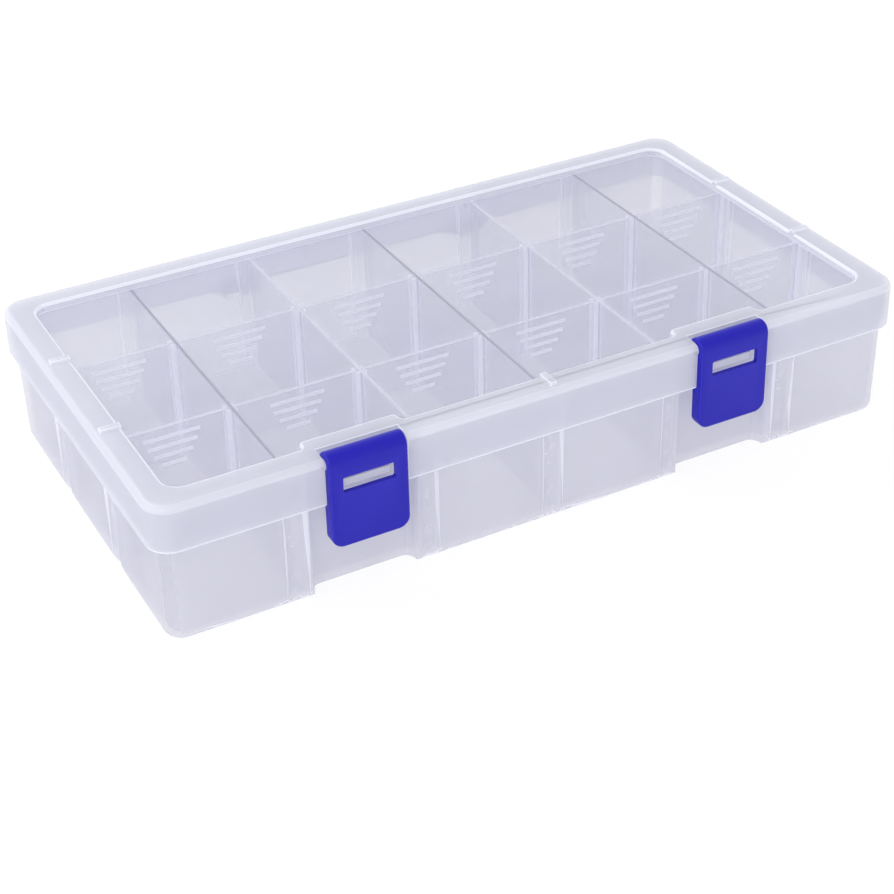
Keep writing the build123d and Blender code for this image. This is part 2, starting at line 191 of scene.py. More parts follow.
@dataclass(frozen=True)
class MilkyPolypropylene:
    """Translucent polypropylene, injection moulded, 1 to 3 mm thick.

    The unfilled resin is milky: part of the light goes straight through, part comes out
    scattered on the far side, and the rest scatters back with a soft gloss. Thick places, such
    as ribs and the ends of walls, are whiter, and the outside has the mould's own skin of haze.
    Rounded edges, ribs and grip bars get a painted glow, white emission that makes them look
    white, and they turn hazier there too.
    Its faint lavender comes from a brightener. The melt leaves slow clouds and long flow marks.

    Sizes are in mm. The haze and change values are shares of the light, from 0 to 1.
    """

    name: str
    finish: MouldFinish
    tint: str = "#E8E8F0"
    deep_tint: str = "#E4E4EE"
    clear_tint: str = "#FEFEFF"
    # The line tint is painted shade: a dark line drawn on some wall tops in place of shade.
    shade_line_tint: str = "#807E98"
    # The resin.
    ior: float = 1.49
    reflection: float = 1.0
    clear_per_mm: float = 0.89
    forward_scatter: float = 0.5
    # What the surface adds.
    skin_haze: float = 0.38
    slant_haze: float = 0.30
    slant_blend: float = 0.25
    edge_haze: float = 0.7
    # Painted glow: white emission on the faces that the edge attribute marks.
    edge_painted_glow: float = 0.32
    # The painted shade line: full within the inner distance of its middle, gone at the outer.
    shade_line_pitch: float = 38.33
    shade_line_inner: float = 0.2
    shade_line_outer: float = 0.6
    # Clouds, flow marks and grain.
    cloud_size: float = 24.0
    cloud_detail: float = 2.0
    cloud_roughness: float = 0.45
    cloud_change: float = 0.06
    flow_length: float = 60.0
    flow_width: float = 2.6
    flow_detail: float = 1.0
    flow_wander: float = 0.4
    flow_share: float = 0.35
    grain_size: float = 0.7
    grain_detail: float = 3.0
    grain_roughness: float = 0.6

    def colour(self, tree: Tree, place: Socket, cloud: Socket) -> Socket:
        """Lay out the plastic's colour.

        Args:
            tree: The material's nodes.
            place: Where the surface is.
            cloud: The clouds' strength there.

        Returns:
            The milky tint, which drifts with the clouds, with the thin painted shade lines on it.
        """
        milky = add_node(tree, "ShaderNodeMix", {"data_type": "RGBA"}, {
            "Factor": cloud, "A": linear(self.tint), "B": linear(self.deep_tint)})
        # The painted shade line runs along the middle of the wall tops that the line attribute
        # marks.
        shade_marked = add_node(tree, "ShaderNodeAttribute", {"attribute_name": "line"})
        across = add_node(tree, "ShaderNodeSeparateXYZ", inputs={"Vector": place})
        off = add_node(tree, "ShaderNodeMath", {"operation": "PINGPONG"}, {
            0: across.outputs["X"], 1: self.shade_line_pitch * MM})
        thin = add_node(tree, "ShaderNodeMapRange", inputs={
            "Value": off.outputs["Value"], "From Min": self.shade_line_inner * MM,
            "From Max": self.shade_line_outer * MM, "To Min": 1.0, "To Max": 0.0})
        drawn = add_node(tree, "ShaderNodeMath", {"operation": "MULTIPLY"}, {
            0: shade_marked.outputs["Fac"], 1: thin.outputs["Result"]})
        shade_lined = add_node(tree, "ShaderNodeMix", {"data_type": "RGBA"}, {
            "Factor": drawn.outputs["Value"], "A": milky.outputs["Result"],
            "B": linear(self.shade_line_tint)})
        return shade_lined.outputs["Result"]

    def bump(self, tree: Tree, place: Socket) -> Socket:
        """Lay out the surface's relief.

        Args:
            tree: The material's nodes.
            place: Where the surface is.

        Returns:
            The normal, with the mould's grain and the flow marks.
        """
        # Flow marks: long narrow streaks from the gate to the ends.
        along = add_node(tree, "ShaderNodeMapping", inputs={
            "Vector": place, "Scale": (self.flow_width / self.flow_length, 1.0, 1.0)})
        flow = add_node(tree, "ShaderNodeTexNoise", inputs={
            "Vector": along.outputs["Vector"], "Scale": 1 / (self.flow_width * MM),
            "Detail": self.flow_detail, "Distortion": self.flow_wander})
        # Grain: the mould steel's texture, drawn coarse enough to show from arm's length.
        grain = add_node(tree, "ShaderNodeTexNoise", inputs={
            "Vector": place, "Scale": 1 / (self.grain_size * MM),
            "Detail": self.grain_detail, "Roughness": self.grain_roughness})
        height = add_node(tree, "ShaderNodeMix", {"data_type": "FLOAT"}, {
            "Factor": self.flow_share, "A": grain.outputs["Fac"], "B": flow.outputs["Fac"]})
        relief = add_node(tree, "ShaderNodeBump", inputs={
            "Strength": 1.0, "Distance": self.finish.depth * MM,
            "Height": height.outputs["Result"]})
        return relief.outputs["Normal"]

    def passed(self, tree: Tree, cloud: Socket, edge: Socket) -> Socket:
        """Lay out the share of light that goes straight through.

        Args:
            tree: The material's nodes.
            cloud: The clouds' strength.
            edge: How strongly the face has the painted glow.

        Returns:
            The share, which falls with the wall's thickness, the mould's skin, the angle,
            the painted glow and the clouds.
        """
        wall = add_node(tree, "ShaderNodeAttribute", {"attribute_name": "wall"})
        depth = add_node(tree, "ShaderNodeMath", {"operation": "POWER"}, {
            0: self.clear_per_mm, 1: wall.outputs["Fac"]})
        skin = add_node(tree, "ShaderNodeAttribute", {"attribute_name": "skin"})
        skin_clear = add_node(tree, "ShaderNodeMath", {"operation": "POWER"}, {
            0: 1 - self.skin_haze, 1: skin.outputs["Fac"]})
        facing = add_node(tree, "ShaderNodeLayerWeight", inputs={"Blend": self.slant_blend})
        share = add_node(tree, "ShaderNodeMath", {"operation": "MULTIPLY"}, {
            0: depth.outputs["Value"], 1: skin_clear.outputs["Value"]}).outputs["Value"]
        for cause, haze in ((facing.outputs["Facing"], self.slant_haze), (edge, self.edge_haze),
                            (cloud, 2 * self.cloud_change)):
            kept = add_node(tree, "ShaderNodeMapRange", inputs={
                "Value": cause, "To Min": 1.0, "To Max": 1 - haze})
            share = add_node(tree, "ShaderNodeMath", {"operation": "MULTIPLY"}, {
                0: share, 1: kept.outputs["Result"]}).outputs["Value"]
        return share

    def material(self) -> bpy.types.Material:
        """Build the material. It reads the mesh's wall, skin, line and edge attributes: line is a
        painted shade line, edge a painted glow.

        Returns:
            The material, made once for each name.
        """
        found = bpy.data.materials.get(self.name)
        if found:
            return found
        made = empty_material(self.name)
        tree = made.node_tree
        place = add_node(tree, "ShaderNodeTexCoord").outputs["Object"]
        cloud = add_node(tree, "ShaderNodeTexNoise", inputs={
            "Vector": place, "Scale": 1 / (self.cloud_size * MM),
            "Detail": self.cloud_detail, "Roughness": self.cloud_roughness}).outputs["Fac"]
        colour = self.colour(tree, place, cloud)
        normal = self.bump(tree, place)
        # The edge attribute is a painted glow, shown as white emission and as added haze.
        edge = add_node(tree, "ShaderNodeAttribute", {"attribute_name": "edge"}).outputs["Fac"]
        painted_glow = add_node(tree, "ShaderNodeMath", {"operation": "MULTIPLY"}, {
            0: edge, 1: self.edge_painted_glow})
        gloss = add_node(tree, "ShaderNodeBsdfPrincipled", inputs={
            "Base Color": colour, "Roughness": self.finish.roughness, "IOR": self.ior,
            "Specular IOR Level": self.reflection, "Normal": normal,
            "Emission Color": linear(WHITE), "Emission Strength": painted_glow.outputs["Value"]})
        glow = add_node(tree, "ShaderNodeBsdfTranslucent", inputs={
            "Color": colour, "Normal": normal})
        milk = add_node(tree, "ShaderNodeMixShader", inputs={
            "Fac": self.forward_scatter, 1: gloss.outputs["BSDF"], 2: glow.outputs["BSDF"]})
        clear = add_node(tree, "ShaderNodeBsdfTransparent", inputs={
            "Color": linear(self.clear_tint)})
        body = add_node(tree, "ShaderNodeMixShader", inputs={
            "Fac": self.passed(tree, cloud, edge), 1: milk.outputs["Shader"],
            2: clear.outputs["BSDF"]})
        add_node(tree, "ShaderNodeOutputMaterial", inputs={"Surface": body.outputs["Shader"]})
        return made


@dataclass(frozen=True)
class BluePolypropylene:
    """Royal blue polypropylene, opaque, injection moulded with a satin face.

    The pigment is dense, so the colour is even, with a soft wide highlight. The eye finds
    the fine grain, a slight change of gloss from handling, and convex edges drawn paler.

    Sizes are in mm. The paler edges start and end at a pointiness, where 0.5 is flat.
    """

    name: str
    finish: MouldFinish
    colour: str = "#1A12B0"
    deep_colour: str = "#150EA6"
    pale_edge_colour: str = "#342DBE"
    ior: float = 1.49
    reflection: float = 0.32
    pale_edge_from: float = 0.52
    pale_edge_full: float = 0.62
    pale_edge_share: float = 0.5
    grain_size: float = 0.5
    grain_detail: float = 3.0
    grain_roughness: float = 0.6
    handling_size: float = 9.0
    handling_detail: float = 2.0
    handled_glossier: float = 0.04
    handled_duller: float = 0.06

    def material(self) -> bpy.types.Material:
        """Build the material.

        Returns:
            The material, made once for each name.
        """
        found = bpy.data.materials.get(self.name)
        if found:
            return found
        made = empty_material(self.name)
        tree = made.node_tree
        place = add_node(tree, "ShaderNodeTexCoord").outputs["Object"]
        handling = add_node(tree, "ShaderNodeTexNoise", inputs={
            "Vector": place, "Scale": 1 / (self.handling_size * MM),
            "Detail": self.handling_detail}).outputs["Fac"]
        colour = add_node(tree, "ShaderNodeMix", {"data_type": "RGBA"}, {
            "Factor": handling, "A": linear(self.colour), "B": linear(self.deep_colour)})
        # Pointiness is high on convex edges, so they are drawn slightly paler.
        shape = add_node(tree, "ShaderNodeNewGeometry")
        pale_edge = add_node(tree, "ShaderNodeMapRange", inputs={
            "Value": shape.outputs["Pointiness"], "From Min": self.pale_edge_from,
            "From Max": self.pale_edge_full, "To Min": 0.0, "To Max": self.pale_edge_share})
        pale_edged = add_node(tree, "ShaderNodeMix", {"data_type": "RGBA"}, {
            "Factor": pale_edge.outputs["Result"],
            "A": colour.outputs["Result"], "B": linear(self.pale_edge_colour)})
        gloss = add_node(tree, "ShaderNodeMapRange", inputs={
            "Value": handling, "To Min": self.finish.roughness - self.handled_glossier,
            "To Max": self.finish.roughness + self.handled_duller})
        grain = add_node(tree, "ShaderNodeTexNoise", inputs={
            "Vector": place, "Scale": 1 / (self.grain_size * MM),
            "Detail": self.grain_detail, "Roughness": self.grain_roughness})
        bump = add_node(tree, "ShaderNodeBump", inputs={
            "Strength": 1.0, "Distance": self.finish.depth * MM, "Height": grain.outputs["Fac"]})
        plastic = add_node(tree, "ShaderNodeBsdfPrincipled", inputs={
            "Base Color": pale_edged.outputs["Result"], "Roughness": gloss.outputs["Result"],
            "IOR": self.ior, "Specular IOR Level": self.reflection,
            "Normal": bump.outputs["Normal"]})
        add_node(tree, "ShaderNodeOutputMaterial", inputs={"Surface": plastic.outputs["BSDF"]})
        return made


# Pieces


@dataclass
class WallGauge:
    """Measures how thick the plastic is behind the faces of one solid. Sizes are in mm."""

    solid: BVHTree
    reach: float = 60.0
    skin_depth: float = 0.01

    def behind(self, point: Vector, normal: Vector) -> float:
        """Measure from a point on the surface straight inwards to the far side.

        Args:
            point: A point on the surface.
            normal: The surface's outward direction there.

        Returns:
            The thickness in mm.
        """
        start = point - normal * self.skin_depth * MM
        distance = self.solid.ray_cast(start, -normal, self.reach * MM)[3]
        return distance / MM if distance else 0.0


@dataclass
class MouldedPart:
    """A piece that follows one solid of the frame, with the eased edges that a mould leaves.

    Sizes are in mm and angles in degrees. Fields that place a surface hold the solids' sizes.
    """

    node: str
    body: str
    slot: str
    finish: MilkyPolypropylene | BluePolypropylene
    weld_reach: float = 0.002
    flat_angle: float = 0.5
    pair_angle: float = 10.0
    edge_radius: float = 0.2
    edge_steps: int = 2
    round_profile: float = 0.5
    smooth_angle: float = 28.0
    fold_limit: float = 1.6
    fold_reach: float = 0.5
    fold_rounds: int = 4
    thickest: float = 12.0
    blend_rounds: int = 4
    edge_from: float = 0.45
    edge_full: float = 1.1
    least_area: float = 1e-6

    def merged_copy(self) -> bmesh.types.BMesh:
        """Copy the frame's solid, join its loose triangles and make flat areas single faces.

        Returns:
            The mesh in edit form.
        """
        shape = bmesh.new()
        shape.from_mesh(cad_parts[self.node].data)
        bmesh.ops.remove_doubles(shape, verts=shape.verts, dist=self.weld_reach * MM)
        bmesh.ops.dissolve_limit(
            shape, angle_limit=math.radians(self.flat_angle), verts=shape.verts[:],
            edges=shape.edges[:])
        bmesh.ops.join_triangles(
            shape, faces=shape.faces[:], angle_face_threshold=math.radians(self.pair_angle),
            angle_shape_threshold=math.pi)
        return shape

    def eased_copy(self, solid: BVHTree) -> bmesh.types.BMesh:
        """Copy the solid and round its sharp edges, except where a round would fold outwards.

        Args:
            solid: The solid's own surface, to tell where a round leaves it.

        Returns:
            The mesh in edit form.
        """
        limit = math.radians(self.smooth_angle)
        folds: list[Vector] = []
        for _ in range(self.fold_rounds):
            shape = self.merged_copy()
            sharp = [e for e in shape.edges if e.is_manifold and e.calc_face_angle(0.0) > limit]
            sharp = [e for e in sharp if not any(
                near_segment(spot, e.verts[0].co, e.verts[1].co) < self.fold_reach * MM
                for spot in folds)]
            bmesh.ops.bevel(
                shape, geom=sharp, offset=self.edge_radius * MM, offset_type="OFFSET",
                segments=self.edge_steps, profile=self.round_profile, affect="EDGES",
                clamp_overlap=False, miter_outer="SHARP", miter_inner="SHARP", loop_slide=True)
            found = []
            for vert in shape.verts:
                spot, _, _, away = solid.find_nearest(vert.co)
                if away > self.fold_limit * self.edge_radius * MM:
                    found.append(spot)
            if not found:
                return shape
            folds += found
            shape.free()
        return self.merged_copy()

    def skin_at(self, point: Vector) -> float:
        """Return how hazy the surface is at a point, in layers of the mould's texture."""
        return 0.0

    def is_painted_shade_line(self, point: Vector, normal: Vector) -> bool:
        """Tell whether a face gets the painted shade line."""
        return False

    def painted_glow_at(self, point: Vector, normal: Vector, roundness: float) -> float:
        """Return how strongly a face gets the painted glow, from 0 to 1.

        Args:
            point: The face's middle.
            normal: Its direction.
            roundness: How tightly it bends outwards, from 0 to 1.

        Returns:
            The painted glow's share. Here it is the roundness itself.
        """
        return roundness

    def roundness(self, face: bmesh.types.BMFace) -> float:
        """Grade how tightly a face bends outwards into its neighbours.

        Args:
            face: The face.

        Returns:
            0 for a flat or gently bent face, 1 for a tight outside edge.
        """
        area = max(face.calc_area() / MM ** 2, self.least_area)
        bend = max((edge.calc_face_angle_signed(0.0) * edge.calc_length() / MM / area
                    for edge in face.edges if edge.is_manifold), default=0.0)
        return min(1.0, max(0.0, (bend - self.edge_from) / (self.edge_full - self.edge_from)))

    def mark_walls(self, shape: bmesh.types.BMesh, gauge: WallGauge) -> None:
        """Store on each face how thick the plastic is behind it and what its surface is.

        Args:
            shape: The mesh in edit form, which gets the wall, skin, line and edge values; line is
                the painted shade line and edge the painted glow.
            gauge: What measures the thickness.
        """
        # The line layer holds the painted shade line and the edge layer the painted glow.
        layers = [shape.faces.layers.float.new(name) for name in ("wall", "skin", "line", "edge")]
        samples: dict[int, list[tuple[float, float]]] = {}
        largest: dict[int, tuple[float, Vector]] = {}
        for loops in shape.calc_loop_triangles():
            face = loops[0].face
            corners = [loop.vert.co for loop in loops]
            area = (corners[1] - corners[0]).cross(corners[2] - corners[0]).length / 2
            middle = (corners[0] + corners[1] + corners[2]) / 3
            if area > largest.get(face.index, (-1.0, middle))[0]:
                largest[face.index] = (area, middle)
            spots = [middle] + [(middle + corner) / 2 for corner in corners]
            for spot in spots:
                reading = (gauge.behind(spot, face.normal), area / len(spots))
                samples.setdefault(face.index, []).append(reading)
        for face in shape.faces:
            readings = sorted(samples[face.index])
            half = sum(weight for _, weight in readings) / 2
            wall = readings[-1][0]
            for thickness, weight in readings:
                half -= weight
                if half <= 0:
                    wall = thickness
                    break
            point = largest[face.index][1]
            face[layers[0]] = min(wall, self.thickest)
            face[layers[1]] = self.skin_at(point)
            face[layers[2]] = float(self.is_painted_shade_line(point, face.normal))
            face[layers[3]] = self.painted_glow_at(point, face.normal, self.roundness(face))

    def blend_walls(self, shape: bmesh.types.BMesh) -> None:
        """Even out the thickness between faces that run smoothly into each other.

        Args:
            shape: The mesh in edit form, whose wall values are changed.
        """
        layer = shape.faces.layers.float["wall"]
        limit = math.radians(self.smooth_angle)
        joins = [(e.link_faces[0], e.link_faces[1]) for e in shape.edges
                 if e.is_manifold and e.calc_face_angle(math.pi) < limit]
        areas = {face: face.calc_area() for face in shape.faces}
        for _ in range(self.blend_rounds):
            sums = {face: [face[layer] * areas[face], areas[face]] for face in shape.faces}
            for one, other in joins:
                for face, beside in ((one, other), (other, one)):
                    sums[face][0] += beside[layer] * areas[beside]
                    sums[face][1] += areas[beside]
            for face, (total, area) in sums.items():
                face[layer] = total / max(area, TINY)

    def make_shape(self, solid: BVHTree) -> bmesh.types.BMesh:
        """Build the piece's mesh in edit form."""
        return self.eased_copy(solid) if self.edge_radius else self.merged_copy()

    def make_mesh(self) -> bpy.types.Mesh:
        """Build the piece's mesh.

        Returns:
            The finished mesh, shaded smooth between its sharp edges.
        """
        plain = bmesh.new()
        plain.from_mesh(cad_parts[self.node].data)
        solid = BVHTree.FromBMesh(plain)
        plain.free()
        shape = self.make_shape(solid)
        shape.faces.ensure_lookup_table()
        shape.faces.index_update()
        self.mark_walls(shape, WallGauge(solid))
        self.blend_walls(shape)
        mesh = bpy.data.meshes.new(self.node + "_dressed")
        shape.to_mesh(mesh)
        shape.free()
        mesh.shade_smooth()
        mesh.set_sharp_from_angle(angle=math.radians(self.smooth_angle))
        return mesh

    def build(self) -> bpy.types.Object:
        """Build the piece, dress it and let it stand for its solid.

        Returns:
            The piece, riding on its body.
        """
        piece = link_object(self.node + "_dressed", self.make_mesh())
        piece.data.materials.append(self.finish.material())
        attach(piece, self.body)
        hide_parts(self.node)
        log.info("%s: %d faces in %s", piece.name, len(piece.data.polygons), self.finish.name)
        return piece


@dataclass
class Tray(MouldedPart):
    """The tray: leaning outer walls with the mould's texture, and clear walls inside.

    The places are counted from the middle of the box, and a bay's edges from its own middle.
    """

    # The outer walls and the tops of all walls.
    half_width: float = 113.1
    half_depth: float = 59.6
    height: float = 40.0
    draft: float = 0.6
    skin: float = 0.6
    wall_top: float = 39.6
    top_margin: float = 0.5
    top_slack: float = 0.05
    level_from: float = 0.9
    # The outside grooves.
    groove_half: float = 3.3
    groove_reach: float = 2.2
    # The finger bays behind the latches, whose upright corners get a painted glow.
    bay_place: float = 56.5
    bay_half: float = 15.2
    bay_face: float = 53.8
    bay_middle: float = 56.5
    bay_round: float = 1.0
    bay_corner: float = 1.6
    bay_painted_glow: float = 0.2
    # The fixed walls, every second of which gets a painted shade line on its top, and the divider
    # guides, which get a painted glow.
    shade_wall_pitch: float = 76.66
    shade_wall_half: float = 0.7
    column_pitch: float = 38.33
    end_columns: float = 2.5
    row_plane: float = 20.1
    guide_half: float = 1.8
    guide_reach: float = 1.7
    guide_from: float = 2.0
    guide_skin: float = 5.0
    guide_painted_glow: float = 0.6

    def skin_at(self, point: Vector) -> float:
        """Return the haze at a point: one layer outside, more on the divider guides.

        Args:
            point: A point of the surface.

        Returns:
            The haze in layers of the mould's texture.
        """
        x, y, z = from_middle(point)
        lean = self.draft * (self.height - z) / self.height + self.skin
        if x > self.half_width - lean or y > self.half_depth - lean or z < self.skin:
            return 1.0
        # The bay's upright outer corners round off past its half width.
        reach = self.bay_half + (self.bay_round if y > self.bay_middle else 0.0)
        in_bay = abs(x - self.bay_place) < reach and point.y < 0
        if in_bay and y > self.bay_face - self.skin:
            return 1.0
        # The outside grooves behind which the walls and the dividers end.
        by_column = off_line(x, self.column_pitch) < self.groove_half
        by_row = abs(y - self.row_plane) < self.groove_half
        if by_column and y > self.half_depth - self.groove_reach:
            return 1.0
        if by_row and x > self.half_width - self.groove_reach:
            return 1.0
        return self.guide_skin if self.in_guide(point) else 0.0

    def in_guide(self, point: Vector) -> bool:
        """Tell whether a point inside the tray lies on the ribs that guide a divider.

        Args:
            point: A point of the surface.

        Returns:
            Whether it lies beside a wall and close to a divider's plane.
        """
        x, y, z = from_middle(point)
        by_wall = off_line(x, self.column_pitch) < self.guide_reach
        by_end = x > self.end_columns * self.column_pitch + self.guide_reach
        at_height = self.guide_from < z < self.wall_top - self.top_margin
        return (by_wall or by_end) and abs(y - self.row_plane) < self.guide_half and at_height

    def painted_glow_at(self, point: Vector, normal: Vector, roundness: float) -> float:
        """Return how strongly a face gets the painted glow.

        Args:
            point: The face's middle.
            normal: Its direction.
            roundness: How tightly it bends outwards, from 0 to 1.

        Returns:
            The roundness, more on the divider guides, one value all over the finger bays'
            upright corners, none on the wall tops with the painted shade line.
        """
        if self.skin_at(point) == self.guide_skin:
            return max(roundness, self.guide_painted_glow)
        x, y, z = (value / MM for value in point)
        side = abs(abs(x) - self.bay_place) - self.bay_half
        if y < -self.bay_face and -self.bay_corner < side < self.bay_round:
            return self.bay_painted_glow
        shade_lined = off_line(x, self.shade_wall_pitch) < self.shade_wall_half
        return 0.0 if shade_lined and z > self.wall_top - self.top_margin else roundness

    def is_painted_shade_line(self, point: Vector, normal: Vector) -> bool:
        """Tell whether a face is the square top of every second wall, which gets a painted shade
        line.
        """
        on_top = abs(point.z / MM - self.wall_top) < self.top_slack
        shade_lined = off_line(point.x / MM, self.shade_wall_pitch) < self.shade_wall_half
        return normal.z > self.level_from and on_top and shade_lined


@dataclass
class Lid(MouldedPart):
    """The lid: a textured skirt and rim round a polished, clearer panel."""

    # The sunk panel, which is polished.
    panel_half_width: float = 107.0
    panel_half_depth: float = 53.5
    panel_under: float = 39.8
    # The skirt and the rim with its outer round, which gets a painted highlight.
    skirt_top: float = 38.0
    rim_skin: float = 1.5
    edge_round: float = 2.0
    corner: float = 7.0
    half_width: float = 115.0
    half_depth: float = 61.5
    top: float = 43.0
    round_painted_highlight: float = 0.45
    bent_from: float = 0.1
    bent_to: float = 0.97

    def skin_at(self, point: Vector) -> float:
        """Return the haze at a point: none on the polished panel, most on the rim."""
        x, y, z = from_middle(point)
        if x < self.panel_half_width and y < self.panel_half_depth and z > self.panel_under:
            return 0.0
        return self.rim_skin if z > self.skirt_top else 1.0

    def painted_glow_at(self, point: Vector, normal: Vector, roundness: float) -> float:
        """Return how strongly a face gets the painted glow: the rim's outer round gets a painted
        highlight.

        Args:
            point: The face's middle.
            normal: Its direction.
            roundness: How tightly it bends outwards, from 0 to 1.

        Returns:
            The roundness, and at least the painted highlight's share on the rim's outer round.
        """
        x, y, z = from_middle(point)
        along = max(0.0, x - self.half_width + self.corner)
        back = max(0.0, y - self.half_depth + self.corner)
        outside = math.hypot(along, back) > self.corner - self.edge_round
        bent = self.bent_from < abs(normal.z) < self.bent_to
        on_round = outside and bent and z > self.top - self.edge_round
        return max(roundness, self.round_painted_highlight) if on_round else roundness


@dataclass
class Divider(MouldedPart):
    """One loose divider: a thin plate with a ladder of grip bars that get shorter downwards."""

    # The ladder of grip bars.
    grip_count: int = 4
    grip_pitch: float = 2.8
    grip_first_length: float = 16.0
    grip_step: float = 2.0
    grip_taper: float = 1.0
    grip_below_top: float = 2.4
    grip_height: float = 1.0
    grip_proud: float = 0.5
    grip_round: float = 0.24
    grip_skin: float = 8.0
    # The grip bars' painted glow.
    grip_painted_glow: float = 0.9
    # The plate, whose top edge gets a painted glow.
    top_painted_glow: float = 0.7
    top_band: float = 0.3
    plate: float = 1.2
    plate_slack: float = 0.02
    foot_chamfer: float = 2.0
    level_slack: float = 0.01

    def skin_at(self, point: Vector) -> float:
        """Return the haze at a point: several layers on the grip bars, none on the plate."""
        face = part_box(self.node)[1].y - self.plate * MM
        return self.grip_skin if point.y < face - self.plate_slack * MM else 0.0

    def painted_glow_at(self, point: Vector, normal: Vector, roundness: float) -> float:
        """Return how strongly a face gets the painted glow: the grip bars most, the plate's top
        edge a little.

        Args:
            point: The face's middle.
            normal: Its direction.
            roundness: Unused here, as the plate's own edges stay plain.

        Returns:
            The painted glow's share.
        """
        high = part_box(self.node)[1]
        if point.y < high.y - (self.plate + self.plate_slack) * MM:
            return self.grip_painted_glow
        return self.top_painted_glow if point.z > high.z - self.top_band * MM else 0.0

    def plate_outline(self) -> list[tuple[float, float]]:
        """Return the plate's corners in X and Z, from the solid's own widest points."""
        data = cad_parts[self.node].data
        low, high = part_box(self.node)
        cut = self.foot_chamfer * MM
        rows = {}
        for level in (low.z, low.z + cut, high.z):
            xs = [v.co.x for v in data.vertices
                  if abs(v.co.z - level) < self.level_slack * MM]
            rows[level] = (min(xs), max(xs))
        foot, heel, top = (rows[level] for level in (low.z, low.z + cut, high.z))
        return [(foot[0], low.z), (foot[1], low.z), (heel[1], low.z + cut),
                (top[1], high.z), (top[0], high.z), (heel[0], low.z + cut)]

    def plate_mesh(self) -> bpy.types.Mesh:
        """Build the plain plate without its grip bars.

        Returns:
            A closed prism between the plate's two faces.
        """
        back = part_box(self.node)[1].y
        front = back - self.plate * MM
        shape = bmesh.new()
        corners = [shape.verts.new((x, front, z)) for x, z in self.plate_outline()]
        face = shape.faces.new(corners)
        swept = bmesh.ops.extrude_face_region(shape, geom=[face])
        moved = [v for v in swept["geom"] if isinstance(v, bmesh.types.BMVert)]
        bmesh.ops.translate(shape, verts=moved, vec=(0, self.plate * MM, 0))
        bmesh.ops.recalc_face_normals(shape, faces=shape.faces[:])
        mesh = bpy.data.meshes.new(self.node + "_plate")
        shape.to_mesh(mesh)
        shape.free()
        return mesh

    @staticmethod
    def ladder_tree() -> bpy.types.GeometryNodeTree:
        """Build the tree that lays grip bars on a plate, each shorter than the one above.

        Returns:
            The tree, made once.
        """
        found = bpy.data.node_groups.get("grip_ladder")
        if found:
            return found
        tree = bpy.data.node_groups.new("grip_ladder", "GeometryNodeTree")
        sockets = (("Plate", "NodeSocketGeometry"), ("Count", "NodeSocketInt"),
                   ("Pitch", "NodeSocketFloat"), ("First length", "NodeSocketFloat"),
                   ("Step", "NodeSocketFloat"), ("Taper", "NodeSocketFloat"),
                   ("Height", "NodeSocketFloat"), ("Depth", "NodeSocketFloat"),
                   ("Round", "NodeSocketFloat"), ("Top middle", "NodeSocketVector"),
                   ("Finish", "NodeSocketMaterial"))
        for name, kind in sockets:
            tree.interface.new_socket(name, in_out="INPUT", socket_type=kind)
        tree.interface.new_socket("Divider", in_out="OUTPUT", socket_type="NodeSocketGeometry")
        given = add_node(tree, "NodeGroupInput").outputs
        down = add_node(tree, "ShaderNodeMath", {"operation": "MULTIPLY"}, {
            0: given["Pitch"], 1: -1.0})
        step_down = add_node(tree, "ShaderNodeCombineXYZ", inputs={"Z": down.outputs[0]})
        rungs = add_node(tree, "GeometryNodeMeshLine", {"mode": "OFFSET"}, {
            "Count": given["Count"], "Start Location": given["Top middle"],
            "Offset": step_down.outputs[0]})
        # Bar i is shorter than the first by i steps and by i (i - 1) / 2 tapers.
        index = add_node(tree, "GeometryNodeInputIndex").outputs[0]
        before = add_node(tree, "ShaderNodeMath", {"operation": "SUBTRACT"}, {0: index, 1: 1.0})
        pairs = add_node(tree, "ShaderNodeMath", {"operation": "MULTIPLY"}, {
            0: index, 1: before.outputs[0]})
        half_pairs = add_node(tree, "ShaderNodeMath", {"operation": "MULTIPLY"}, {
            0: pairs.outputs[0], 1: 0.5})
        taper = add_node(tree, "ShaderNodeMath", {"operation": "MULTIPLY"}, {
            0: half_pairs.outputs[0], 1: given["Taper"]})
        steps = add_node(tree, "ShaderNodeMath", {"operation": "MULTIPLY_ADD"}, {
            0: index, 1: given["Step"], 2: taper.outputs[0]})
        length = add_node(tree, "ShaderNodeMath", {"operation": "SUBTRACT"}, {
            0: given["First length"], 1: steps.outputs[0]})
        stretch = add_node(tree, "ShaderNodeCombineXYZ", inputs={
            "X": length.outputs[0], "Y": 1.0, "Z": 1.0})
        line = add_node(tree, "GeometryNodeCurvePrimitiveLine", inputs={
            "Start": (-0.5, 0.0, 0.0), "End": (0.5, 0.0, 0.0)})
        placed = add_node(tree, "GeometryNodeInstanceOnPoints", inputs={
            "Points": rungs.outputs[0], "Instance": line.outputs[0], "Scale": stretch.outputs[0]})
        lines = add_node(tree, "GeometryNodeRealizeInstances", inputs={0: placed.outputs[0]})
        upright = add_node(tree, "GeometryNodeSetCurveNormal", inputs={"Curve": lines.outputs[0]})
        upright.mode = "Z_UP"
        section = add_node(tree, "GeometryNodeCurvePrimitiveQuadrilateral", inputs={
            "Width": given["Depth"], "Height": given["Height"]})
        rounded = add_node(tree, "GeometryNodeFilletCurve", inputs={
            "Curve": section.outputs[0], "Radius": given["Round"]})
        bars = add_node(tree, "GeometryNodeCurveToMesh", inputs={
            "Curve": upright.outputs[0], "Profile Curve": rounded.outputs[0], "Fill Caps": True})
        joined = add_node(tree, "GeometryNodeMeshBoolean", {
            "operation": "UNION", "solver": "EXACT"})
        tree.links.new(given["Plate"], joined.inputs["Mesh 2"])
        tree.links.new(bars.outputs[0], joined.inputs["Mesh 2"])
        real = add_node(tree, "GeometryNodeRealizeInstances", inputs={0: joined.outputs[0]})
        dressed = add_node(tree, "GeometryNodeSetMaterial", inputs={
            "Geometry": real.outputs[0], "Material": given["Finish"]})
        add_node(tree, "NodeGroupOutput", inputs={0: dressed.outputs[0]})
        return tree

